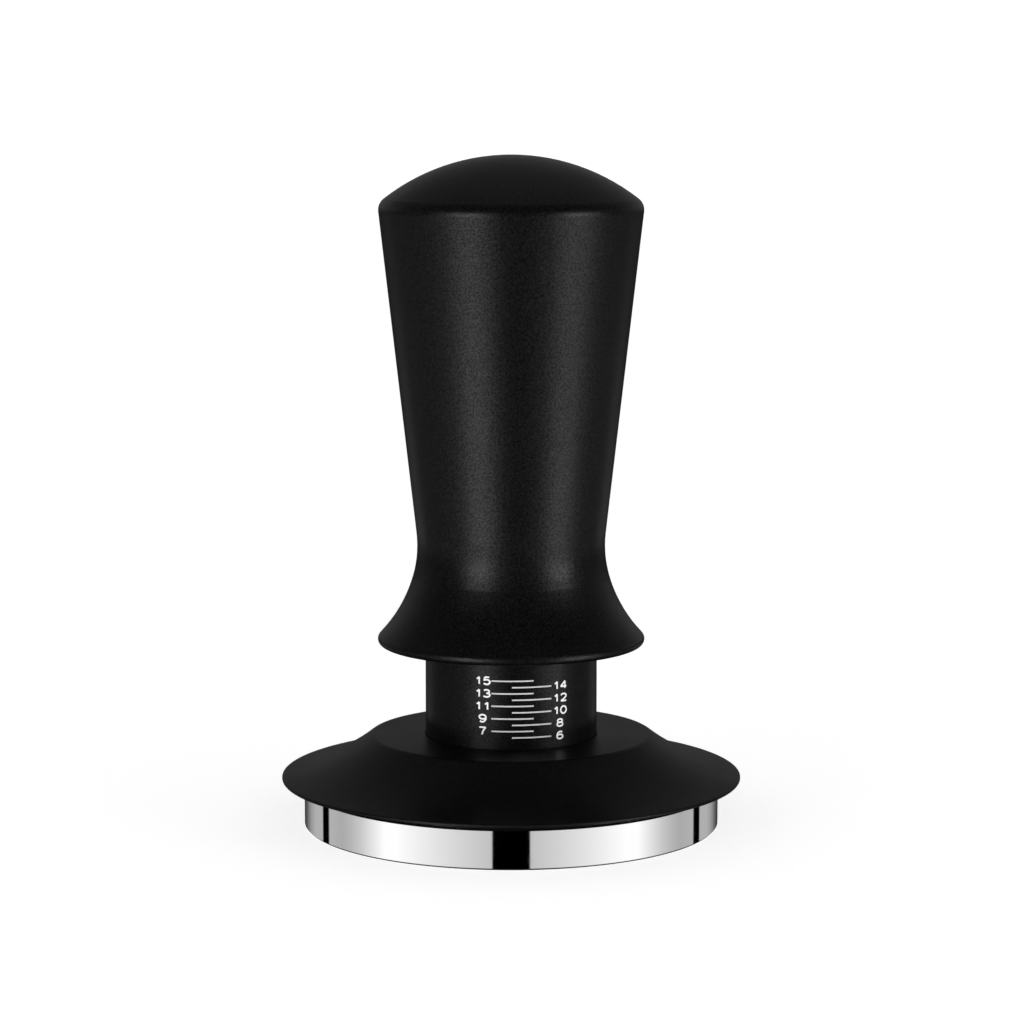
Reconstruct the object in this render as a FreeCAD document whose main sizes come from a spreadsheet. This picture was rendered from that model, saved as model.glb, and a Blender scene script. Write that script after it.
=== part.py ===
import FreeCAD, Part
import math
import os
import Sketcher

# Spring-loaded espresso tamper with a levelling plate and a depth scale.
# Frame: +Z up along the axis, origin at the centre of the tamping face, which rests on z = 0.
# Lengths are in millimetres and angles in degrees.

DIMENSIONS = {
    # tamping base: a polished disc with a threaded boss
    "base_radius": 29.175,
    "base_top": 6.6,
    "base_chamfer": 0.25,
    "base_shoulder": 1.25,
    "boss_radius": 10.4,
    "boss_top": 14.0,
    "stud_radius": 5.0,
    "stud_hole_bottom": 3.0,
    "stud_bottom": 3.2,
    # bumper ring let into the top of the base, under the plate
    "bumper_inner": 20.0,
    "bumper_outer": 22.4,
    "bumper_bottom": 5.9,
    "bumper_height": 0.85,
    # scale sleeve: the neck that carries the marks
    "sleeve_radius": 12.05,
    "sleeve_bore": 10.5,
    "sleeve_bottom": 7.2,
    "sleeve_top": 28.5,
    "sleeve_lip": 2.0,
    "sleeve_lip_bore": 7.1,
    # centre shaft
    "shaft_radius": 7.0,
    "shaft_shoulder": 46.5,
    "shaft_top": 56.0,
    "shaft_end_radius": 6.0,
    "flat_bottom": 16.0,
    "flat_top": 22.0,
    "flat_half_width": 6.0,
    # nut that clamps the sleeve, and the washer where the handle bottoms
    "nut_radius": 9.5,
    "nut_height": 2.0,
    "nut_slot_width": 2.0,
    "nut_slot_depth": 1.2,
    "stop_height": 0.95,
    "bottom_washer_height": 0.95,
    # spring collar on the shaft
    "collar_radius": 10.6,
    "collar_top": 50.5,
    "set_screw_radius": 1.25,
    "set_screw_length": 3.6,
    # levelling plate
    "plate_bottom": 6.5,
    "register_radius": 29.6,
    "register_depth": 0.3,
    "plate_radius": 32.32,
    "plate_rim_top": 6.95,
    "plateau_top": 12.76,
    "plateau_corner": 19.76,
    "plateau_fillet": 1.0,
    "plate_cone_radius": 27.25,
    "plate_rim_fillet": 0.2,
    "plate_bore": 12.15,
    "bushing_seat": 14.0,
    "bushing_seat_top": 11.8,
    # bushing in the plate, its drag ring and its snap ring
    "bushing_outer": 13.95,
    "bushing_inner": 12.1,
    "bushing_bottom": 8.25,
    "bushing_top": 11.7,
    "drag_groove_radius": 12.95,
    "drag_groove_bottom": 9.4,
    "drag_ring_height": 1.1,
    "snap_outer": 14.7,
    "snap_inner": 12.7,
    "snap_bottom": 7.3,
    "snap_height": 0.9,
    "snap_gap": 3.0,
    # handle shell, outside
    "handle_height": 93.908,
    "dome_radius": 28.774,
    "shoulder_radius": 1.951,
    "grip_top_radius": 18.381,
    "grip_foot_radius": 13.261,
    "grip_foot_height": 41.369,
    "waist_radius": 15.916,
    "flare_radius": 20.177,
    "skirt_radius": 18.725,
    "lip_radius": 0.778,
    "skirt_bottom": 25.581,
    # handle shell, inside
    "mouth_bore": 12.25,
    "mouth_top": 31.8,
    "bush_bore": 11.3,
    "spring_bore": 10.9,
    "bore_end": 83.25,
    "wiper_groove": 13.4,
    "wiper_bottom": 26.7,
    "wiper_height": 1.2,
    "wiper_bore": 12.1,
    # guide bush in the handle, with its liner and retaining ring
    "bush_bottom": 34.5,
    "bush_top": 45.5,
    "liner_outer": 7.9,
    "liner_inner": 7.05,
    "spanner_hole_radius": 0.9,
    "spanner_hole_depth": 2.0,
    "spanner_circle": 9.6,
    "clip_groove": 12.0,
    "clip_outer": 11.9,
    "clip_inner": 10.1,
    "clip_height": 1.1,
    "clip_gap": 4.0,
    # main spring and what it pushes on
    "spring_wire": 2.6,
    "spring_mean_radius": 8.7,
    "spring_turns": 6.3,
    "seat_bottom": 80.0,
    "seat_height": 1.6,
    "seat_radius": 10.75,
    "seat_pilot_radius": 7.1,
    "seat_pilot_bottom": 76.0,
    "shim_height": 0.3,
    "shim_bore": 4.0,
    "thrust_height": 1.0,
}

SHIM_COUNT = 2
SET_SCREW_COUNT = 2
SPANNER_HOLE_COUNT = 4
NUT_SLOT_COUNT = 4
TOLERANCE = 1e-3

document = FreeCAD.newDocument("tamper")
NODES = []


def make_sheet():
    """One spreadsheet row per driving dimension: its name, then its value under that alias."""
    sheet = document.addObject("Spreadsheet::Sheet", "dims")
    for row, (alias, value) in enumerate(DIMENSIONS.items(), start=1):
        sheet.set(f"A{row}", alias)
        sheet.set(f"B{row}", str(value))
        sheet.setAlias(f"B{row}", alias)
    document.recompute()
    return sheet


SHEET = make_sheet()


def sized(text):
    """Turns bare dimension names into references to the sheet's cells."""
    words = text.replace("(", " ( ").replace(")", " ) ").split()
    return " ".join("dims." + word if word in DIMENSIONS else word for word in words)


def number(text):
    """The present value of such an expression."""
    return float(SHEET.evalExpression(sized(text)))


def keep_as_node(piece, label):
    """Names a finished piece as one node of the assembly."""
    piece.Label = label
    NODES.append(piece)
    return piece


def volume(piece):
    document.recompute()
    return piece.Shape.Volume


def require(truth, message):
    if not truth:
        raise RuntimeError(message)


# ---------------------------------------------------------------- sketches and features

def new_body(name):
    return document.addObject("PartDesign::Body", name + "_body")


def plane_of(body, role):
    for feature in body.Origin.OriginFeatures:
        if feature.Role == role:
            return feature
    raise RuntimeError("no plane " + role)


def new_sketch(body, name, role="XZ_Plane", height=None):
    """A sketch on one of the body's own planes, lifted along its normal where a height is given."""
    sketch = body.newObject("Sketcher::SketchObject", name)
    sketch.AttachmentSupport = [(plane_of(body, role), "")]
    sketch.MapMode = "FlatFace"
    if height is not None:
        sketch.setExpression("AttachmentOffset.Base.z", sized(height))
    return sketch


def bind(sketch, constraint, expression):
    """Adds a constraint whose value follows the sheet."""
    index = sketch.addConstraint(constraint)
    sketch.setExpression(f"Constraints[{index}]", sized(expression))


def pin_point(sketch, curve, end, across, up):
    """Ties a curve's end to sheet values, or to a sketch axis where the value is zero."""
    if across == "0":
        sketch.addConstraint(Sketcher.Constraint("PointOnObject", curve, end, -2))
    else:
        bind(sketch, Sketcher.Constraint("DistanceX", -1, 1, curve, end, number(across)), across)
    if up == "0":
        sketch.addConstraint(Sketcher.Constraint("PointOnObject", curve, end, -1))
    else:
        bind(sketch, Sketcher.Constraint("DistanceY", -1, 1, curve, end, number(up)), up)


def draw_outline(sketch, corners):
    """A closed outline of straight edges through corners given as (radius, height) expressions."""
    places = [FreeCAD.Vector(number(across), number(up), 0) for across, up in corners]
    count = len(places)
    for index in range(count):
        sketch.addGeometry(Part.LineSegment(places[index], places[(index + 1) % count]), False)
    for index in range(count):
        sketch.addConstraint(Sketcher.Constraint("Coincident", index, 2, (index + 1) % count, 1))
    for index, (across, up) in enumerate(corners):
        pin_point(sketch, index, 1, across, up)


def revolve(body, sketch, name):
    feature = body.newObject("PartDesign::Revolution", name)
    feature.Profile = sketch
    feature.ReferenceAxis = (sketch, ["V_Axis"])
    feature.Angle = 360
    document.recompute()
    return feature


def turned(label, corners):
    """A turned piece: an outline revolved about the tamper's axis."""
    body = new_body(label)
    sketch = new_sketch(body, label + "_outline")
    draw_outline(sketch, corners)
    revolve(body, sketch, label + "_turning")
    return keep_as_node(body, label)


def cut_groove(body, name, corners):
    """A turned groove, which has to remove material."""
    before = volume(body)
    sketch = new_sketch(body, name + "_outline")
    draw_outline(sketch, corners)
    feature = body.newObject("PartDesign::Groove", name)
    feature.Profile = sketch
    feature.ReferenceAxis = (sketch, ["V_Axis"])
    feature.Angle = 360
    require(volume(body) < before - TOLERANCE, name + " cut nothing")
    return feature


def cut_pocket(body, sketch, name, depth=None, upwards=False):
    """A pocket of the sheet's depth, or through everything both ways where no depth is given."""
    before = volume(body)
    feature = body.newObject("PartDesign::Pocket", name)
    feature.Profile = sketch
    if depth is None:
        feature.Type = 1
        feature.Midplane = True
    else:
        feature.setExpression("Length", sized(depth))
        feature.Reversed = upwards
    require(volume(body) < before - TOLERANCE, name + " cut nothing")
    return feature


def repeat_round(body, feature, name, count):
    """Repeats a feature evenly about the tamper's axis."""
    pattern = body.newObject("PartDesign::PolarPattern", name)
    pattern.Originals = [feature]
    pattern.Axis = (plane_of(body, "Z_Axis"), [""])
    pattern.Angle = 360
    pattern.Occurrences = count
    before = body.Shape.Volume
    body.Tip = pattern
    require(count == 1 or volume(body) < before - TOLERANCE, name + " repeated nothing")
    return pattern


def round_edges_at(shape, radius, height):
    """The names of the circular edges of a radius about the axis at a height."""
    names = []
    for index, edge in enumerate(shape.Edges, start=1):
        if not isinstance(edge.Curve, Part.Circle):
            continue
        centre = edge.Curve.Center
        if abs(edge.Curve.Radius - radius) < TOLERANCE and abs(centre.z - height) < TOLERANCE:
            names.append(f"Edge{index}")
    require(names, f"no edge of radius {radius} at height {height}")
    return names


def soften(body, kind, name, across, up, size):
    """A fillet or chamfer on a round edge of the piece."""
    tip = body.Tip
    feature = body.newObject("PartDesign::" + kind, name)
    feature.Base = (tip, round_edges_at(tip.Shape, number(across), number(up)))
    feature.setExpression("Size" if kind == "Chamfer" else "Radius", sized(size))
    document.recompute()
    return feature


def draw_rectangle(sketch, left, right, bottom, top):
    """A rectangle between sheet values, whose sides may lie across the axis."""
    corners = [(left, bottom), (right, bottom), (right, top), (left, top)]
    draw_outline(sketch, corners)


def draw_circle(sketch, across, up, radius):
    middle = FreeCAD.Vector(number(across), number(up), 0)
    circle = sketch.addGeometry(Part.Circle(middle, FreeCAD.Vector(0, 0, 1), number(radius)), False)
    pin_point(sketch, circle, 3, across, up)
    bind(sketch, Sketcher.Constraint("Radius", circle, number(radius)), radius)


def ring(label, outer, inner, height, bottom):
    """A plain washer made from two cylinders, placed at its height by the sheet."""
    blank = document.addObject("Part::Cylinder", label + "_blank")
    blank.setExpression("Radius", sized(outer))
    blank.setExpression("Height", sized(height))
    bore = document.addObject("Part::Cylinder", label + "_bore")
    bore.setExpression("Radius", sized(inner))
    bore.setExpression("Height", sized(height))
    washer = document.addObject("Part::Cut", label + "_cut")
    washer.Base = blank
    washer.Tool = bore
    washer.setExpression("Placement.Base.z", sized(bottom))
    document.recompute()
    return washer


def split_ring(label, outer, inner, height, bottom, gap):
    """A spring ring: a flat ring with one gap, as a snap ring or circlip has."""
    body = new_body(label)
    outline = new_sketch(body, label + "_outline", "XY_Plane", bottom)
    draw_circle(outline, "0", "0", outer)
    draw_circle(outline, "0", "0", inner)
    pad = body.newObject("PartDesign::Pad", label + "_pad")
    pad.Profile = outline
    pad.setExpression("Length", sized(height))
    document.recompute()
    slot = new_sketch(body, label + "_gap", "XY_Plane", bottom)
    draw_rectangle(slot, f"- {gap} / 2", f"{gap} / 2", inner + " / 2", outer + " * 1.5")
    cut_pocket(body, slot, label + "_gap_cut", height, upwards=True)
    return keep_as_node(body, label)


# ---------------------------------------------------------------- base, shaft and neck

def make_tamping_base():
    """Polished disc that presses the coffee, with a boss that takes the shaft's stud."""
    body = turned("tamping_base", [
        ("0", "0"),
        ("base_radius", "0"),
        ("base_radius", "base_top"),
        ("boss_radius", "base_top"),
        ("boss_radius", "boss_top"),
        ("stud_radius", "boss_top"),
        ("stud_radius", "stud_hole_bottom"),
        ("0", "stud_hole_bottom"),
    ])
    cut_groove(body, "bumper_groove", [
        ("bumper_inner", "bumper_bottom"),
        ("bumper_outer", "bumper_bottom"),
        ("bumper_outer", "base_top"),
        ("bumper_inner", "base_top"),
    ])
    soften(body, "Chamfer", "lower_edge_chamfer", "base_radius", "0", "base_chamfer")
    soften(body, "Chamfer", "upper_edge_chamfer", "base_radius", "base_top", "base_shoulder")


def make_centre_shaft():
    """Shaft from the base up into the handle, with spanner flats hidden inside the sleeve."""
    body = turned("centre_shaft", [
        ("0", "stud_bottom"),
        ("stud_radius", "stud_bottom"),
        ("stud_radius", "boss_top"),
        ("shaft_radius", "boss_top"),
        ("shaft_radius", "shaft_shoulder"),
        ("shaft_end_radius", "shaft_shoulder"),
        ("shaft_end_radius", "shaft_top"),
        ("0", "shaft_top"),
    ])
    for side, name in ((1, "right_flat"), (-1, "left_flat")):
        sketch = new_sketch(body, name)
        near = "flat_half_width" if side > 0 else "- flat_half_width"
        far = "shaft_radius * 1.5" if side > 0 else "- shaft_radius * 1.5"
        draw_rectangle(sketch, near, far, "flat_bottom", "flat_top")
        cut_pocket(body, sketch, name + "_cut")
    soften(body, "Chamfer", "shaft_top_chamfer", "shaft_end_radius", "shaft_top", "base_chamfer * 2")


def make_scale_sleeve():
    """Neck tube that carries the depth marks, held down by its inner lip."""
    turned("scale_sleeve", [
        ("sleeve_bore", "sleeve_bottom"),
        ("sleeve_radius", "sleeve_bottom"),
        ("sleeve_radius", "sleeve_top"),
        ("sleeve_lip_bore", "sleeve_top"),
        ("sleeve_lip_bore", "sleeve_top - sleeve_lip"),
        ("sleeve_bore", "sleeve_top - sleeve_lip"),
    ])


def make_sleeve_clamp_nut():
    """Slotted round nut that clamps the sleeve down on the base."""
    body = turned("sleeve_clamp_nut", [
        ("shaft_radius", "sleeve_top"),
        ("nut_radius", "sleeve_top"),
        ("nut_radius", "sleeve_top + nut_height"),
        ("shaft_radius", "sleeve_top + nut_height"),
    ])
    slot = new_sketch(body, "nut_slot", "XY_Plane", "sleeve_top")
    draw_rectangle(slot, "nut_radius - nut_slot_depth", "nut_radius * 1.5",
                   "- nut_slot_width / 2", "nut_slot_width / 2")
    cut = cut_pocket(body, slot, "nut_slot_cut", "nut_height", upwards=True)
    repeat_round(body, cut, "nut_slots", NUT_SLOT_COUNT)


def make_base_rings():
    """The soft and plain rings that stay with the base and its shaft."""
    keep_as_node(ring("sleeve_seal", "sleeve_radius", "boss_radius",
                      "sleeve_bottom - base_top", "base_top"), "sleeve_seal")
    keep_as_node(ring("bumper", "bumper_outer", "bumper_inner",
                      "bumper_height", "bumper_bottom"), "plate_bumper_ring")
    keep_as_node(ring("bottoming", "nut_radius", "shaft_radius", "bottom_washer_height",
                      "sleeve_top + nut_height"), "bottoming_washer")
    keep_as_node(ring("stop", "collar_radius", "shaft_radius", "stop_height",
                      "shaft_shoulder - stop_height"), "stop_washer")


def make_spring_collar():
    """Collar screwed on the shaft's end: the handle's upper stop and the spring's lower seat."""
    body = turned("spring_collar", [
        ("shaft_end_radius", "shaft_shoulder"),
        ("collar_radius", "shaft_shoulder"),
        ("collar_radius", "collar_top"),
        ("shaft_end_radius", "collar_top"),
    ])
    hole = new_sketch(body, "set_screw_hole", "YZ_Plane")
    draw_circle(hole, "0", "( shaft_shoulder + collar_top ) / 2", "set_screw_radius")
    cut_pocket(body, hole, "set_screw_hole_cut")


def make_collar_set_screws():
    """Grub screws that lock the collar on the shaft, one on each side."""
    screws = []
    for index in range(SET_SCREW_COUNT):
        turn = 360.0 * index / SET_SCREW_COUNT
        screw = document.addObject("Part::Cylinder", f"set_screw_{index + 1}")
        screw.setExpression("Radius", sized("set_screw_radius"))
        screw.setExpression("Height", sized("set_screw_length"))
        outward = FreeCAD.Vector(math.cos(math.radians(turn)), math.sin(math.radians(turn)), 0)
        screw.Placement.Rotation = FreeCAD.Rotation(FreeCAD.Vector(0, 0, 1), outward)
        screw.setExpression("Placement.Base.x", f"{outward.x:.0f} * ( dims.shaft_end_radius + 0.2 )")
        screw.setExpression("Placement.Base.z", sized("( shaft_shoulder + collar_top ) / 2"))
        screws.append(screw)
    group = document.addObject("Part::Compound", "set_screw_pair")
    group.Links = screws
    keep_as_node(group, "collar_set_screws")


# ---------------------------------------------------------------- levelling plate

def make_levelling_plate():
    """Hat-shaped plate whose brim rests on the basket's rim, relieved underneath over the base."""
    body = new_body("levelling_plate")
    sketch = new_sketch(body, "levelling_plate_outline")
    corners = [
        ("plateau_corner", "plateau_top"),
        ("plate_radius", "plate_rim_top"),
        ("plate_radius", "plate_bottom"),
        ("register_radius", "plate_bottom"),
        ("register_radius", "plate_bottom + register_depth"),
        ("bushing_seat", "plate_bottom + register_depth"),
        ("bushing_seat", "bushing_seat_top"),
        ("plate_bore", "bushing_seat_top"),
        ("plate_bore", "plateau_top"),
    ]
    places = [FreeCAD.Vector(number(across), number(up), 0) for across, up in corners]
    sketch.addGeometry(hollow_arc(places[0], places[1], number("plate_cone_radius")), False)
    for index in range(1, len(places)):
        line = Part.LineSegment(places[index], places[(index + 1) % len(places)])
        sketch.addGeometry(line, False)
    for index in range(len(places)):
        following = (index + 1) % len(places)
        sketch.addConstraint(Sketcher.Constraint("Coincident", index, 2, following, 1))
    for index, (across, up) in enumerate(corners):
        pin_point(sketch, index, 1, across, up)
    bind(sketch, Sketcher.Constraint("Radius", 0, number("plate_cone_radius")), "plate_cone_radius")
    revolve(body, sketch, "levelling_plate_turning")
    cut_groove(body, "snap_ring_groove", [
        ("bushing_seat - 0.5", "snap_bottom"),
        ("snap_outer + 0.1", "snap_bottom"),
        ("snap_outer + 0.1", "snap_bottom + snap_height"),
        ("bushing_seat - 0.5", "snap_bottom + snap_height"),
    ])
    soften(body, "Fillet", "plateau_edge", "plateau_corner", "plateau_top", "plateau_fillet")
    soften(body, "Fillet", "rim_upper_edge", "plate_radius", "plate_rim_top", "plate_rim_fillet")
    soften(body, "Fillet", "rim_lower_edge", "plate_radius", "plate_bottom", "plate_rim_fillet")
    keep_as_node(body, "levelling_plate")


def hollow_arc(start, end, radius):
    """An arc that sags below the chord from start to end, as a concave cone does."""
    chord = end - start
    half = chord.Length / 2
    across = FreeCAD.Vector(chord.y, -chord.x, 0).normalize()
    if across.y > 0:
        across = across * -1
    sag = radius - math.sqrt(radius ** 2 - half ** 2)
    middle = (start + end) * 0.5 + across * sag
    return Part.Arc(start, middle, end)


def make_plate_bushing():
    """Plain bushing that slides on the sleeve, and that the plate turns on."""
    body = turned("plate_bushing", [
        ("bushing_inner", "bushing_bottom"),
        ("bushing_outer", "bushing_bottom"),
        ("bushing_outer", "bushing_top"),
        ("bushing_inner", "bushing_top"),
    ])
    cut_groove(body, "drag_ring_groove", [
        ("bushing_inner - 0.5", "drag_groove_bottom"),
        ("drag_groove_radius", "drag_groove_bottom"),
        ("drag_groove_radius", "drag_groove_bottom + drag_ring_height"),
        ("bushing_inner - 0.5", "drag_groove_bottom + drag_ring_height"),
    ])
    keep_as_node(ring("drag", "drag_groove_radius", "bushing_inner", "drag_ring_height",
                      "drag_groove_bottom"), "plate_drag_ring")


# ---------------------------------------------------------------- handle

def make_handle_shell():
    """Tapered grip with a domed top and a flared skirt, bored from below."""
    body = new_body("handle_shell")
    sketch = new_sketch(body, "handle_outline")
    draw_handle_outside(sketch)
    draw_handle_bore(sketch)
    revolve(body, sketch, "handle_turning")
    cut_groove(body, "wiper_ring_groove", [
        ("mouth_bore - 0.5", "wiper_bottom"),
        ("wiper_groove", "wiper_bottom"),
        ("wiper_groove", "wiper_bottom + wiper_height"),
        ("mouth_bore - 0.5", "wiper_bottom + wiper_height"),
    ])
    cut_groove(body, "retaining_ring_groove", [
        ("bush_bore - 0.5", "bush_bottom - clip_height"),
        ("clip_groove", "bush_bottom - clip_height"),
        ("clip_groove", "bush_bottom"),
        ("bush_bore - 0.5", "bush_bottom"),
    ])
    keep_as_node(body, "handle_shell")


def arc_from(centre, radius, first, last):
    """An arc of a circle between two angles in degrees, drawn anticlockwise."""
    circle = Part.Circle(centre, FreeCAD.Vector(0, 0, 1), radius)
    return Part.ArcOfCircle(circle, math.radians(first), math.radians(last))


def draw_handle_outside(sketch):
    """Dome, shoulder, taper, waist, flare and lip, each tangent to the next.

    The first places are near ones: the tangents, radii and heights below fix the outline.
    """
    dome, shoulder, taper, waist, flare, lip, underside = range(7)
    taper_angle = math.degrees(math.atan2(
        number("grip_top_radius - grip_foot_radius"),
        number("handle_height - dome_radius / 4 - grip_foot_height")))
    dome_angle = 52.0
    flare_start = 16.5
    flare_end = 43.5
    dome_centre = FreeCAD.Vector(0, number("handle_height - dome_radius"), 0)
    dome_foot = dome_centre + radial(number("dome_radius"), dome_angle)
    shoulder_centre = dome_foot - radial(number("shoulder_radius"), dome_angle)
    taper_top = shoulder_centre + radial(number("shoulder_radius"), -taper_angle)
    taper_foot = FreeCAD.Vector(number("grip_foot_radius"), number("grip_foot_height"), 0)
    waist_centre = taper_foot + radial(number("waist_radius"), -taper_angle)
    waist_foot = waist_centre - radial(number("waist_radius"), flare_start)
    flare_centre = waist_foot + radial(number("flare_radius"), flare_start)
    lip_centre = FreeCAD.Vector(number("skirt_radius - lip_radius"),
                                number("skirt_bottom + lip_radius"), 0)
    lip_foot = lip_centre + radial(number("lip_radius"), -90)
    mouth = FreeCAD.Vector(number("mouth_bore"), number("skirt_bottom"), 0)

    sketch.addGeometry(arc_from(dome_centre, number("dome_radius"), dome_angle, 90), False)
    sketch.addGeometry(arc_from(shoulder_centre, number("shoulder_radius"),
                                -taper_angle, dome_angle), False)
    sketch.addGeometry(Part.LineSegment(taper_top, taper_foot), False)
    sketch.addGeometry(arc_from(waist_centre, number("waist_radius"),
                                180 - taper_angle, 180 + flare_start), False)
    sketch.addGeometry(arc_from(flare_centre, number("flare_radius"),
                                180 + flare_start, 180 + flare_end), False)
    sketch.addGeometry(arc_from(lip_centre, number("lip_radius"), -90, flare_end), False)
    sketch.addGeometry(Part.LineSegment(lip_foot, mouth), False)

    pin_point(sketch, dome, 2, "0", "handle_height")
    sketch.addConstraint(Sketcher.Constraint("PointOnObject", dome, 3, -2))
    sketch.addConstraint(Sketcher.Constraint("Tangent", dome, 1, shoulder, 2))
    sketch.addConstraint(Sketcher.Constraint("Tangent", shoulder, 1, taper, 1))
    sketch.addConstraint(Sketcher.Constraint("Tangent", taper, 2, waist, 1))
    sketch.addConstraint(Sketcher.Constraint("Tangent", waist, 2, flare, 1))
    sketch.addConstraint(Sketcher.Constraint("Tangent", flare, 2, lip, 2))
    sketch.addConstraint(Sketcher.Constraint("Tangent", lip, 1, underside, 1))
    for curve, name in ((dome, "dome_radius"), (shoulder, "shoulder_radius"),
                        (waist, "waist_radius"), (flare, "flare_radius"), (lip, "lip_radius")):
        bind(sketch, Sketcher.Constraint("Radius", curve, number(name)), name)
    bind(sketch, Sketcher.Constraint("DistanceX", -1, 1, taper, 1, number("grip_top_radius")),
         "grip_top_radius")
    pin_point(sketch, taper, 2, "grip_foot_radius", "grip_foot_height")
    bind(sketch, Sketcher.Constraint("DistanceX", -1, 1, lip, 3, number("skirt_radius - lip_radius")),
         "skirt_radius - lip_radius")
    sketch.addConstraint(Sketcher.Constraint("Horizontal", underside))
    pin_point(sketch, underside, 2, "mouth_bore", "skirt_bottom")


def radial(length, angle):
    """A vector of a length at an angle in degrees from the sketch's first axis."""
    turn = math.radians(angle)
    return FreeCAD.Vector(length * math.cos(turn), length * math.sin(turn), 0)


def draw_handle_bore(sketch):
    """The stepped blind bore, from the mouth up to the end that the thrust washer meets."""
    corners = [
        ("mouth_bore", "skirt_bottom"),
        ("mouth_bore", "mouth_top"),
        ("bush_bore", "mouth_top"),
        ("bush_bore", "bush_top"),
        ("spring_bore", "bush_top"),
        ("spring_bore", "bore_end"),
        ("0", "bore_end"),
        ("0", "handle_height"),
    ]
    dome = 0
    underside = 6
    first = underside + 1
    for index in range(len(corners) - 1):
        start = FreeCAD.Vector(number(corners[index][0]), number(corners[index][1]), 0)
        end = FreeCAD.Vector(number(corners[index + 1][0]), number(corners[index + 1][1]), 0)
        sketch.addGeometry(Part.LineSegment(start, end), False)
        sketch.addConstraint(Sketcher.Constraint("Coincident", first + index - 1, 2, first + index, 1))
    last = first + len(corners) - 2
    sketch.addConstraint(Sketcher.Constraint("Coincident", last, 2, dome, 2))
    for index in range(1, len(corners) - 1):
        pin_point(sketch, first + index, 1, corners[index][0], corners[index][1])


def make_guide_bush():
    """Bronze bush in the handle, with spanner holes in its lower face, and its slippery liner."""
    body = turned("guide_bush", [
        ("liner_outer", "bush_bottom"),
        ("bush_bore", "bush_bottom"),
        ("bush_bore", "bush_top"),
        ("liner_outer", "bush_top"),
    ])
    hole = new_sketch(body, "spanner_hole", "XY_Plane", "bush_bottom")
    draw_circle(hole, "spanner_circle", "0", "spanner_hole_radius")
    cut = cut_pocket(body, hole, "spanner_hole_cut", "spanner_hole_depth", upwards=True)
    repeat_round(body, cut, "spanner_holes", SPANNER_HOLE_COUNT)
    keep_as_node(ring("liner", "liner_outer", "liner_inner", "bush_top - bush_bottom",
                      "bush_bottom"), "guide_bush_liner")


def make_handle_rings():
    """The wiper at the handle's mouth and the washer that the handle turns on."""
    keep_as_node(ring("wiper", "wiper_groove", "wiper_bore", "wiper_height", "wiper_bottom"),
                 "wiper_ring")
    keep_as_node(ring("thrust", "seat_radius", "shim_bore", "thrust_height",
                      "seat_bottom + seat_height + 2 * shim_height"), "thrust_washer")


# ---------------------------------------------------------------- main spring

def make_main_spring():
    """Round-wire compression spring with ground ends, between the collar and the upper seat."""
    body = new_body("spring_coil")
    sketch = new_sketch(body, "spring_wire_outline")
    draw_circle(sketch, "spring_mean_radius", "collar_top", "spring_wire / 2")
    coil = body.newObject("PartDesign::AdditiveHelix", "spring_helix")
    coil.Profile = sketch
    coil.ReferenceAxis = (sketch, ["V_Axis"])
    coil.Mode = 1
    coil.setExpression("Pitch", sized("( seat_bottom - collar_top ) / spring_turns"))
    coil.setExpression("Turns", sized("spring_turns"))
    document.recompute()
    envelope = document.addObject("Part::Cylinder", "spring_envelope")
    envelope.setExpression("Radius", sized("spring_mean_radius + spring_wire"))
    envelope.setExpression("Height", sized("seat_bottom - collar_top"))
    envelope.setExpression("Placement.Base.z", sized("collar_top"))
    spring = document.addObject("Part::Common", "ground_spring")
    spring.Base = body
    spring.Tool = envelope
    document.recompute()
    keep_as_node(spring, "main_spring")


def make_upper_spring_seat():
    """Seat that the spring pushes up on, with a pilot that centres the last coil."""
    turned("upper_spring_seat", [
        ("0", "seat_pilot_bottom"),
        ("seat_pilot_radius", "seat_pilot_bottom"),
        ("seat_pilot_radius", "seat_bottom"),
        ("seat_radius", "seat_bottom"),
        ("seat_radius", "seat_bottom + seat_height"),
        ("0", "seat_bottom + seat_height"),
    ])


def make_preload_shims():
    """Thin steel rings above the seat that set the spring's preload."""
    shims = []
    for index in range(SHIM_COUNT):
        shims.append(ring(f"shim_{index + 1}", "seat_radius", "shim_bore", "shim_height",
                          f"seat_bottom + seat_height + {index} * shim_height"))
    stack = document.addObject("Part::Compound", "shim_stack")
    stack.Links = shims
    keep_as_node(stack, "preload_shims")


# ---------------------------------------------------------------- build, check and write

def build():
    make_tamping_base()
    make_centre_shaft()
    make_scale_sleeve()
    make_sleeve_clamp_nut()
    make_base_rings()
    make_spring_collar()
    make_collar_set_screws()
    make_levelling_plate()
    make_plate_bushing()
    split_ring("plate_snap_ring", "snap_outer", "snap_inner", "snap_height", "snap_bottom", "snap_gap")
    make_handle_shell()
    make_guide_bush()
    split_ring("bush_retaining_ring", "clip_outer", "clip_inner", "clip_height",
               "bush_bottom - clip_height", "clip_gap")
    make_handle_rings()
    make_main_spring()
    make_upper_spring_seat()
    make_preload_shims()
    document.recompute()


def check():
    """Stops before anything is written if an object failed or a piece isn't a sound solid."""
    for item in document.Objects:
        faults = [state for state in item.State if state in ("Invalid", "Error")]
        require(not faults, f"{item.Name} is {faults}")
    for node in NODES:
        shape = node.Shape
        require(not shape.isNull() and shape.isValid(), node.Label + " has no sound shape")
        require(shape.Solids and shape.Volume > 0, node.Label + " is not solid")


def write():
    os.makedirs("parts", exist_ok=True)
    for node in NODES:
        node.Shape.exportStep(os.path.join("parts", node.Label + ".step"))
        print(f"{node.Label}: {len(node.Shape.Solids)} solid(s), {node.Shape.Volume:.1f} mm3")


build()
check()
write()
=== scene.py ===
import math

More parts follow.
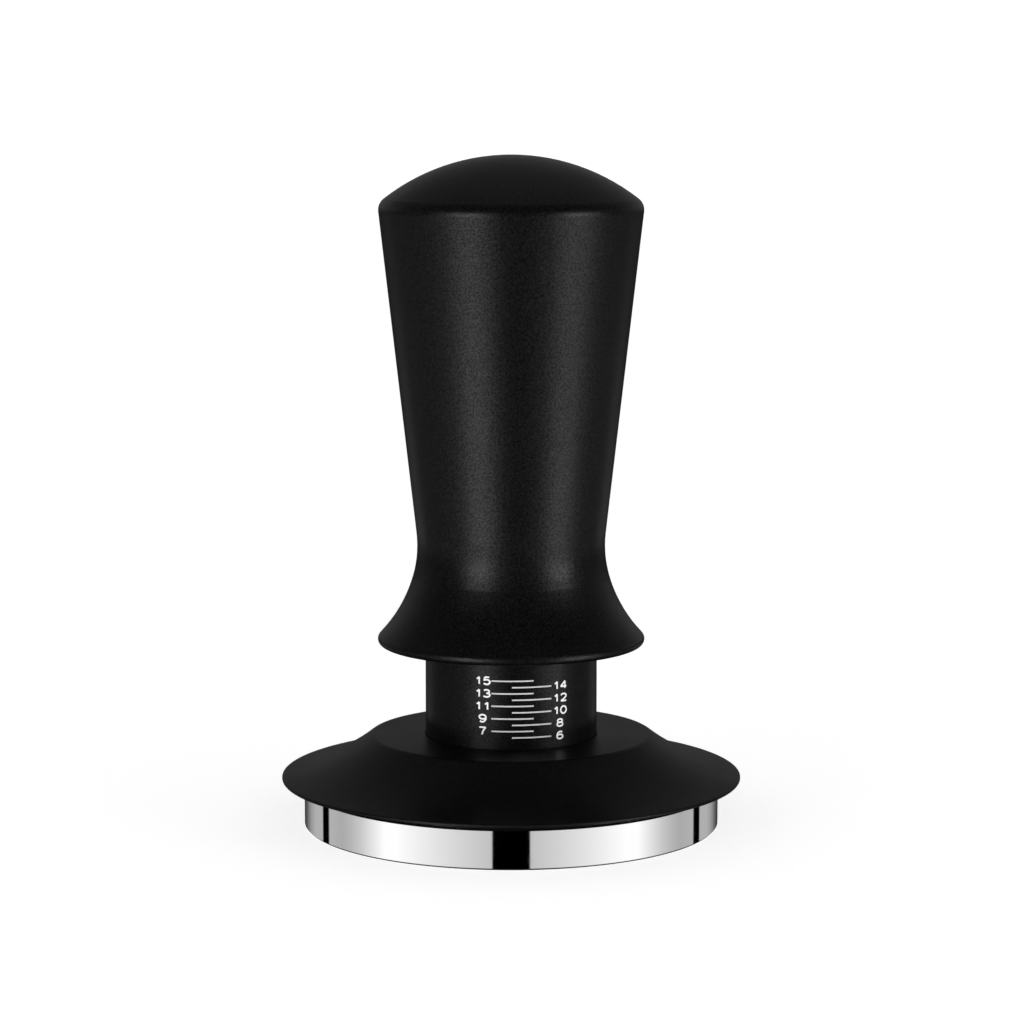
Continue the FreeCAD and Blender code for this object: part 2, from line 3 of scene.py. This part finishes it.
import bmesh
import bpy
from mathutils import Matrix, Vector


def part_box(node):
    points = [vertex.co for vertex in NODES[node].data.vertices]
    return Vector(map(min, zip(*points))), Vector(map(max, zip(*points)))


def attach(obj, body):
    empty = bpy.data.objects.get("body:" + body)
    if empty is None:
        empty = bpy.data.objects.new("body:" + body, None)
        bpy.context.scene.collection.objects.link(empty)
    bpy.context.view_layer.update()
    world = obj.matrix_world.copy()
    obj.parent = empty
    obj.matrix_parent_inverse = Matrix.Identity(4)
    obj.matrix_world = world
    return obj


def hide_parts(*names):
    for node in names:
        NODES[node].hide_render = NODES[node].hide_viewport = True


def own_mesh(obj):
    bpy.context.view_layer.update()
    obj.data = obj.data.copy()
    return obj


# Looks of the espresso tamper: materials, the printed depth scale, studio light, floor and camera.
# Lengths are in metres unless a name ends in _MM, and angles in degrees.

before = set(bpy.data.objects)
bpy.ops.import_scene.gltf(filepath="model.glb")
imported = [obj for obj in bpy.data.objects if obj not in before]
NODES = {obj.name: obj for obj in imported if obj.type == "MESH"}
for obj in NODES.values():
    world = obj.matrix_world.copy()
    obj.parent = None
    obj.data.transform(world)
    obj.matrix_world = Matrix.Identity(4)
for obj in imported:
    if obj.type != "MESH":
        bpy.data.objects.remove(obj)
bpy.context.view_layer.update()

MM = 0.001
NECK_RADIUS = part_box("scale_sleeve")[1].x

# depth scale printed on the neck; a line runs between two angles, a number sits at one angle
FIRST_MARK = 6
LAST_MARK = 15
FIRST_MARK_HEIGHT_MM = 14.44
MARK_STEP_MM = 0.8795
ODD_LINE = (-13.6, 15.3)
ODD_DIGITS = -19.1
EVEN_LINE = (0.0, 27.8)
EVEN_DIGITS = 34.0
LINE_WEIGHT_MM = 0.22
DIGIT_WEIGHT_MM = 0.24
DIGIT_WIDTH_MM = 0.96
DIGIT_HEIGHT_MM = 1.0
DIGIT_ADVANCE_MM = 1.20
PRINT_THICKNESS_MM = 0.03
PRINT_STEP_MM = 0.2
BOW_STEP = 15

# floor that curves up into a wall
ROOM_RADIUS = 2.4
ROOM_HEIGHT = 2.6
ROOM_COVE = 0.8
FLAT_RADIUS = 0.3
COVE_STEPS = 12
ROOM_SEGMENTS = 96

# studio boxes: name, azimuth, elevation, height and watts; azimuth 0 is the camera's side, 90 the right
BOX_AIM = Vector((0, 0, 0.045))
BOX_DISTANCE = 1.5
BOX_WIDTH = 0.72
STUDIO_BOXES = [
    ("left_low_box", -37, -27, 0.46, 6.2),
    ("right_low_box", 59, -27, 0.46, 5.2),
    ("left_high_box", -37, 4, 0.50, 9.0),
    ("right_high_box", 59, 4, 0.50, 8.0),
]

# camera
CAMERA_DISTANCE = 0.465
CAMERA_HEIGHT = 0.1085
CAMERA_PITCH = 7.878
CAMERA_LENS_MM = 117.98
CAMERA_SENSOR_MM = 36.0
CAMERA_SHIFT = 0.0008
CAMERA_NEAR = 0.01
CAMERA_FAR = 20.0


# ------------------------------------------------------------------ small helpers

def new_object(name, data):
    piece = bpy.data.objects.new(name, data)
    bpy.context.scene.collection.objects.link(piece)
    return piece


def shade(piece, material):
    """Gives every slot of a piece this material."""
    if not piece.data.materials:
        piece.data.materials.append(material)
        return
    for slot in piece.material_slots:
        slot.link = "OBJECT"
        slot.material = material


class NodeMaker:
    """Short calls for the nodes that the materials and the surround use."""

    def __init__(self, tree):
        self.nodes = tree.nodes
        self.links = tree.links

    def place(self, kind):
        return self.nodes.new("ShaderNodeTexCoord").outputs[kind]

    def math(self, operation, first, second=0.0):
        node = self.nodes.new("ShaderNodeMath")
        node.operation = operation
        for socket, value in zip(node.inputs, (first, second)):
            if isinstance(value, (int, float)):
                socket.default_value = value
            else:
                self.links.new(value, socket)
        return node.outputs[0]

    def ramp(self, value, stops):
        """Grey levels along a value, from a list of (position, level)."""
        node = self.nodes.new("ShaderNodeValToRGB")
        elements = node.color_ramp.elements
        while len(elements) < len(stops):
            elements.new(0.5)
        for element, (position, level) in zip(elements, stops):
            element.position = position
            element.color = (level, level, level, 1)
        self.links.new(value, node.inputs["Fac"])
        return node.outputs["Color"]


class Recipe(NodeMaker):
    """A material being made around its Principled shader."""

    def __init__(self, name):
        self.material = bpy.data.materials.new(name)
        self.material.use_nodes = True
        super().__init__(self.material.node_tree)
        self.shader = next(node for node in self.nodes if node.type == "BSDF_PRINCIPLED")
        self.position = self.place("Object")

    def socket(self, key):
        name = key.replace("_", " ")
        return next(socket for socket in self.shader.inputs if socket.name.lower() == name)

    def set(self, **values):
        for key, value in values.items():
            self.socket(key).default_value = value

    def feed(self, **outputs):
        for key, output in outputs.items():
            self.links.new(output, self.socket(key))

    def noise(self, scale, detail=2.0, rough=0.5, vector=None):
        node = self.nodes.new("ShaderNodeTexNoise")
        node.inputs["Scale"].default_value = scale
        node.inputs["Detail"].default_value = detail
        node.inputs["Roughness"].default_value = rough
        self.links.new(vector or self.position, node.inputs["Vector"])
        return node.outputs["Fac"]

    def stretched(self, x, y, z):
        node = self.nodes.new("ShaderNodeMapping")
        node.inputs["Scale"].default_value = (x, y, z)
        self.links.new(self.position, node.inputs["Vector"])
        return node.outputs["Vector"]

    def span(self, value, low, high, to_low=0.0, to_high=1.0):
        node = self.nodes.new("ShaderNodeMapRange")
        node.inputs["From Min"].default_value = low
        node.inputs["From Max"].default_value = high
        node.inputs["To Min"].default_value = to_low
        node.inputs["To Max"].default_value = to_high
        self.links.new(value, node.inputs["Value"])
        return node.outputs["Result"]

    def blend(self, factor, first, second):
        """A colour between two colours."""
        node = self.nodes.new("ShaderNodeMix")
        node.data_type = "RGBA"
        self.links.new(factor, node.inputs["Factor"])
        node.inputs["A"].default_value = (*first, 1)
        node.inputs["B"].default_value = (*second, 1)
        return node.outputs["Result"]

    def bump(self, height, strength, distance):
        node = self.nodes.new("ShaderNodeBump")
        node.inputs["Strength"].default_value = strength
        node.inputs["Distance"].default_value = distance
        self.links.new(height, node.inputs["Height"])
        return node.outputs["Normal"]


def grey(level):
    return (level, level, level)


def darkened(colour, share):
    return tuple(share * part for part in colour)


# ------------------------------------------------------------------ materials

def black_coating(name, roughness, shine, dullest, grain_depth):
    """Matte black coating with a fine sand-like grain, whose grains shine from dullest up to fully."""
    recipe = Recipe(name)
    recipe.set(specular_ior_level=shine)
    grain = recipe.noise(4000.0, 1.5, 0.6)
    fine = recipe.noise(7000.0, 1.0, 0.5)
    cloud = recipe.noise(120.0, 3.0, 0.5)
    height = recipe.math("ADD", grain, recipe.math("MULTIPLY", fine, 0.4))
    colour = recipe.blend(recipe.span(grain, 0.35, 0.7), grey(0.0006), (0.0030, 0.0030, 0.0031))
    glint = recipe.blend(recipe.span(grain, 0.34, 0.66), grey(dullest), grey(1.0))
    uneven = recipe.span(cloud, 0.3, 0.7, roughness - 0.02, roughness + 0.02)
    recipe.feed(base_color=colour, roughness=uneven, specular_tint=glint,
                normal=recipe.bump(height, 1.0, grain_depth))
    return recipe.material


def mirror_steel():
    """Mirror-polished stainless steel, with the faintest turning lines and wipe marks."""
    recipe = Recipe("mirror_polished_steel")
    recipe.set(metallic=1.0, base_color=(0.93, 0.93, 0.935, 1))
    wipe = recipe.noise(260.0, 3.0, 0.6)
    lines = recipe.noise(1.0, 2.0, 0.5, recipe.stretched(40.0, 40.0, 9000.0))
    recipe.feed(roughness=recipe.span(wipe, 0.35, 0.75, 0.025, 0.06),
                normal=recipe.bump(lines, 0.02, 0.000004))
    return recipe.material


def turned_metal(name, colour, roughness):
    """Lathe-turned metal with fine rings along its axis."""
    recipe = Recipe(name)
    recipe.set(metallic=1.0)
    rings = recipe.noise(1.0, 2.0, 0.6, recipe.stretched(60.0, 60.0, 14000.0))
    patina = recipe.noise(300.0, 3.0, 0.6)
    recipe.feed(base_color=recipe.blend(patina, darkened(colour, 0.78), colour),
                roughness=recipe.span(rings, 0.3, 0.7, roughness - 0.06, roughness + 0.08),
                normal=recipe.bump(rings, 0.25, 0.00001))
    return recipe.material


def moulded_polymer(name, colour, roughness):
    """Machined polymer with a soft, slightly mottled surface."""
    recipe = Recipe(name)
    mottle = recipe.noise(700.0, 3.0, 0.6)
    recipe.feed(base_color=recipe.blend(mottle, darkened(colour, 0.85), colour),
                roughness=recipe.span(mottle, 0.3, 0.7, roughness - 0.05, roughness + 0.05),
                normal=recipe.bump(recipe.noise(5000.0), 0.3, 0.00001))
    return recipe.material


def print_paint(name, tone):
    """White scale print, slightly uneven where it was laid on the grain."""
    recipe = Recipe(name)
    recipe.set(specular_ior_level=0.3)
    uneven = recipe.noise(6000.0, 2.0, 0.6)
    colour = recipe.blend(recipe.span(uneven, 0.3, 0.7), grey(0.88 * tone), grey(1.12 * tone))
    recipe.feed(base_color=colour,
                roughness=recipe.span(uneven, 0.3, 0.7, 0.5, 0.65),
                normal=recipe.bump(uneven, 0.4, 0.00001))
    return recipe.material


def dress_cad_nodes():
    """The CAD nodes that are shown keep their shapes and take procedural materials."""
    coverings = [
        (mirror_steel(), ["tamping_base"]),
        (black_coating("handle_coating", 0.355, 0.26, 0.44, 0.000015), ["handle_shell"]),
        (black_coating("plate_coating", 0.42, 0.212, 0.7, 0.00001), ["levelling_plate"]),
        (black_coating("neck_coating", 0.36, 0.193, 0.45, 0.000015), ["scale_sleeve"]),
        (turned_metal("turned_steel", (0.62, 0.62, 0.63), 0.28),
         ["centre_shaft", "sleeve_clamp_nut", "spring_collar", "upper_spring_seat", "preload_shims"]),
        (turned_metal("blackened_steel", (0.10, 0.10, 0.105), 0.38),
         ["collar_set_screws", "plate_snap_ring", "bush_retaining_ring"]),
        (turned_metal("turned_bronze", (0.62, 0.42, 0.2), 0.3), ["guide_bush"]),
        (moulded_polymer("white_acetal", (0.82, 0.81, 0.77), 0.42),
         ["plate_bushing", "guide_bush_liner", "bottoming_washer", "stop_washer", "thrust_washer"]),
        (moulded_polymer("black_silicone", (0.02, 0.02, 0.021), 0.6),
         ["sleeve_seal", "plate_bumper_ring", "plate_drag_ring", "wiper_ring"]),
    ]
    for material, names in coverings:
        for name in names:
            shade(NODES[name], material)


def make_spring():
    """The main spring, which on the real tamper shortens between its collar and its seat as the handle is
    pressed; here it is a shaded copy with its own mesh, carried by the base body.
    """
    spring = new_object("main_spring_coil", NODES["main_spring"].data.copy())
    shade(spring, turned_metal("spring_wire", (0.5, 0.5, 0.51), 0.35))
    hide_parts("main_spring")
    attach(spring, "base")
    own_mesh(spring)


# ------------------------------------------------------------------ depth scale

def bow(middle, size, first, last):
    """Points along an ellipse between two angles, in a digit's box of one by one."""
    steps = max(4, int(abs(last - first) / BOW_STEP))
    angles = [math.radians(first + (last - first) * step / steps) for step in range(steps + 1)]
    return [(middle[0] + size[0] * math.cos(angle), middle[1] + size[1] * math.sin(angle))
            for angle in angles]


def digit_strokes(digit):
    """The pen strokes of a plain digit in a box of one by one."""
    strokes = {
        "0": [bow((0.5, 0.5), (0.5, 0.5), 0, 360)],
        "1": [[(0.62, 0.0), (0.62, 1.0)], [(0.62, 1.0), (0.48, 0.84), (0.24, 0.72)]],
        "2": [bow((0.5, 0.70), (0.46, 0.30), 165, -35) + [(0.45, 0.22), (0.04, 0.0)],
              [(0.04, 0.0), (0.98, 0.0)]],
        "3": [bow((0.47, 0.75), (0.42, 0.25), 150, -90), bow((0.47, 0.27), (0.50, 0.27), 90, -150)],
        "4": [[(0.74, 0.0), (0.74, 1.0)], [(0.74, 1.0), (0.0, 0.28)], [(0.0, 0.28), (1.0, 0.28)]],
        "5": [[(0.90, 1.0), (0.24, 1.0)], [(0.24, 1.0), (0.12, 0.50)],
              bow((0.48, 0.33), (0.50, 0.33), 140, -145)],
        "6": [bow((0.5, 0.30), (0.5, 0.30), 0, 360), bow((0.56, 0.42), (0.56, 0.58), 175, 55)],
        "7": [[(0.02, 1.0), (0.98, 1.0)], [(0.98, 1.0), (0.60, 0.55), (0.40, 0.0)]],
        "8": [bow((0.5, 0.76), (0.41, 0.24), 0, 360), bow((0.5, 0.27), (0.49, 0.27), 0, 360)],
    }
    strokes["9"] = [[(1 - x, 1 - y) for x, y in stroke] for stroke in strokes["6"]]
    return strokes[digit]


def number_strokes(text):
    """The strokes of a number in metres, centred on the origin."""
    placed = []
    for index, digit in enumerate(text):
        middle = (index - (len(text) - 1) / 2) * DIGIT_ADVANCE_MM
        for stroke in digit_strokes(digit):
            placed.append([((middle + (x - 0.5) * DIGIT_WIDTH_MM) * MM,
                            (y - 0.5) * DIGIT_HEIGHT_MM * MM) for x, y in stroke])
    return placed


def divided(stroke):
    """A stroke with points added, so that it can follow the neck."""
    points = [stroke[0]]
    for (x0, y0), (x1, y1) in zip(stroke, stroke[1:]):
        count = max(1, math.ceil(math.hypot(x1 - x0, y1 - y0) / (PRINT_STEP_MM * MM)))
        for index in range(1, count + 1):
            points.append((x0 + (x1 - x0) * index / count, y0 + (y1 - y0) * index / count))
    return points


def stroke_mesh(name, strokes, weight):
    """Round rods of a given weight along flat strokes, as one mesh."""
    curve = bpy.data.curves.new(name, "CURVE")
    curve.dimensions = "3D"
    curve.bevel_depth = weight / 2
    curve.bevel_resolution = 2
    curve.use_fill_caps = True
    for stroke in strokes:
        points = divided(stroke)
        spline = curve.splines.new("POLY")
        spline.points.add(len(points) - 1)
        for point, (x, y) in zip(spline.points, points):
            point.co = (x, y, 0, 1)
    carrier = new_object(name + "_carrier", curve)
    bpy.context.view_layer.update()
    mesh = bpy.data.meshes.new_from_object(carrier.evaluated_get(bpy.context.evaluated_depsgraph_get()))
    bpy.data.objects.remove(carrier)
    bpy.data.curves.remove(curve)
    return mesh


def painted_piece(name, strokes, weight, angle, height, paint):
    """Strokes of paint as flattened rods bent round the neck at an angle and height."""
    mesh = stroke_mesh(name, strokes, weight)
    flatten = PRINT_THICKNESS_MM * MM / weight
    for vertex in mesh.vertices:
        turn = math.radians(angle) + vertex.co.x / NECK_RADIUS
        out = NECK_RADIUS + vertex.co.z * flatten
        vertex.co = Vector((out * math.sin(turn), -out * math.cos(turn), height + vertex.co.y))
    mesh.materials.clear()
    mesh.materials.append(paint)
    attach(new_object(name, mesh), "base")


def print_scale():
    """The marks: odd numbers on the left with lines to the right, even ones the other way."""
    digit_paint = print_paint("scale_digit_paint", 0.72)
    line_paint = print_paint("scale_line_paint", 0.45)
    line_weight = LINE_WEIGHT_MM * MM
    for reading in range(FIRST_MARK, LAST_MARK + 1):
        height = (FIRST_MARK_HEIGHT_MM + (reading - FIRST_MARK) * MARK_STEP_MM) * MM
        odd = reading % 2 == 1
        start, end = ODD_LINE if odd else EVEN_LINE
        reach = (math.radians(end - start) * NECK_RADIUS - line_weight) / 2
        painted_piece(f"scale_line_{reading}", [[(-reach, 0), (reach, 0)]], line_weight,
                      (start + end) / 2, height, line_paint)
        painted_piece(f"scale_number_{reading}", number_strokes(str(reading)), DIGIT_WEIGHT_MM * MM,
                      ODD_DIGITS if odd else EVEN_DIGITS, height, digit_paint)


# ------------------------------------------------------------------ room, light and camera

def sweep_paper():
    """Pale matte paper, faintly bright as if lit all over."""
    recipe = Recipe("pale_sweep")
    recipe.set(roughness=0.9, specular_ior_level=0.0, emission_color=(1, 1, 1, 1), emission_strength=0.66)
    tone = recipe.noise(3.0, 2.0, 0.5)
    recipe.feed(base_color=recipe.blend(tone, grey(0.50), grey(0.53)))
    return recipe.material


def make_room():
    """Pale floor that curves up into a wall all round, and doesn't show in reflections."""
    cove_radius = ROOM_RADIUS - ROOM_COVE
    profile = [(FLAT_RADIUS, 0.0), (cove_radius, 0.0)]
    for step in range(1, COVE_STEPS + 1):
        angle = math.radians(90 * step / COVE_STEPS)
        profile.append((ROOM_RADIUS - ROOM_COVE * (1 - math.sin(angle)), ROOM_COVE * (1 - math.cos(angle))))
    profile.append((ROOM_RADIUS, ROOM_HEIGHT))
    turns = [2 * math.pi * index / ROOM_SEGMENTS for index in range(ROOM_SEGMENTS)]
    build = bmesh.new()
    centre = build.verts.new((0, 0, 0))
    rings = [[build.verts.new((radius * math.cos(turn), radius * math.sin(turn), height)) for turn in turns]
             for radius, height in profile]
    for index in range(ROOM_SEGMENTS):
        following = (index + 1) % ROOM_SEGMENTS
        build.faces.new((centre, rings[0][index], rings[0][following]))
        for inner, outer in zip(rings, rings[1:]):
            build.faces.new((inner[index], outer[index], outer[following], inner[following]))
    mesh = bpy.data.meshes.new("floor")
    build.to_mesh(mesh)
    build.free()
    for face in mesh.polygons:
        face.use_smooth = True
    floor = new_object("floor", mesh)
    mesh.materials.append(sweep_paper())
    floor.visible_glossy = False
    floor.visible_shadow = False


def light_studio():
    """Four soft boxes aimed at the tamper's middle, two low and two high."""
    for name, azimuth, elevation, height, watts in STUDIO_BOXES:
        light = bpy.data.lights.new(name, "AREA")
        light.shape = "RECTANGLE"
        light.size = BOX_WIDTH
        light.size_y = height
        light.energy = watts
        turn = math.radians(azimuth)
        rise = math.radians(elevation)
        outward = Vector((math.sin(turn) * math.cos(rise), -math.cos(turn) * math.cos(rise), math.sin(rise)))
        lamp = new_object(name, light)
        lamp.location = BOX_AIM + outward * BOX_DISTANCE
        lamp.rotation_mode = "QUATERNION"
        lamp.rotation_quaternion = outward.to_track_quat("Z", "Y")


def turn_stops(levels):
    """Ramp stops from levels given by degrees round from the camera's side."""
    return [(degrees / 180, level) for degrees, level in levels]


def rise_stops(levels):
    """Ramp stops from levels given by degrees of elevation."""
    return [(0.5 + 0.5 * math.sin(math.radians(degrees)), level) for degrees, level in levels]


def ramp_world():
    """Studio surround: a wide light band round the table's edge with dark gaps, and dim light above."""
    world = bpy.data.worlds.new("studio_surround")
    world.use_nodes = True
    bpy.context.scene.world = world
    maker = NodeMaker(world.node_tree)
    split = maker.nodes.new("ShaderNodeSeparateXYZ")
    maker.links.new(maker.place("Generated"), split.inputs["Vector"])
    x, y, z = (split.outputs[axis] for axis in "XYZ")

    across = maker.math("POWER", maker.math("ADD", maker.math("POWER", x, 2.0),
                                            maker.math("POWER", y, 2.0)), 0.5)
    cosine = maker.math("DIVIDE", maker.math("MULTIPLY", y, -1.0), across)
    turn = maker.math("DIVIDE", maker.math("ARCCOSINE", cosine), math.pi)
    rise = maker.math("MULTIPLY", maker.math("ADD", z, 1.0), 0.5)

    band_round = [(0.0, 0.0), (10.0, 0.0), (10.6, 0.57), (25, 0.68), (41, 0.82), (57, 0.98),
                  (66, 1.07), (74, 1.06), (82, 0.84), (91, 0.62), (99, 0.50), (107, 0.43),
                  (120.6, 0.47), (121.2, 0.0), (128.2, 0.0), (128.8, 0.46), (139, 0.45),
                  (148, 0.32), (156, 0.14), (164, 0.05), (180, 0.05)]
    band_rise = [(-90, 0.22), (-32, 0.22), (-18, 0.22), (-15, 1.0), (-12, 1.0), (-9, 0.2),
                 (0, 0.0), (90, 0.0)]
    above_rise = [(-90, 0.0), (-4, 0.0), (4, 0.23), (15, 0.22), (22, 0.17), (30, 0.14),
                  (40, 0.14), (60, 0.14), (90, 0.14)]
    behind_round = [(0, 0.08), (80, 0.12), (130, 1.0), (180, 1.0)]
    zenith_rise = [(-90, 0.0), (45, 0.0), (65, 0.06), (80, 0.12), (90, 0.12)]

    band = maker.math("MULTIPLY", maker.ramp(turn, turn_stops(band_round)),
                      maker.ramp(rise, rise_stops(band_rise)))
    above = maker.math("MULTIPLY", maker.ramp(rise, rise_stops(above_rise)),
                       maker.ramp(turn, turn_stops(behind_round)))
    zenith = maker.ramp(rise, rise_stops(zenith_rise))
    total = maker.math("ADD", maker.math("ADD", band, above), zenith)
    background = next(node for node in maker.nodes if node.type == "BACKGROUND")
    background.inputs["Color"].default_value = (1, 1, 1, 1)
    maker.links.new(total, background.inputs["Strength"])


def place_camera():
    lens = bpy.data.cameras.new("camera")
    lens.sensor_width = CAMERA_SENSOR_MM
    lens.lens = CAMERA_LENS_MM
    lens.shift_x = CAMERA_SHIFT
    lens.clip_start = CAMERA_NEAR
    lens.clip_end = CAMERA_FAR
    camera = new_object("camera", lens)
    camera.location = (0, -CAMERA_DISTANCE, CAMERA_HEIGHT)
    camera.rotation_euler = (math.radians(90 - CAMERA_PITCH), 0, 0)
    bpy.context.scene.camera = camera


dress_cad_nodes()
make_spring()
print_scale()
make_room()
light_studio()
ramp_world()
place_camera()
bpy.context.scene.view_settings.view_transform = "Standard"
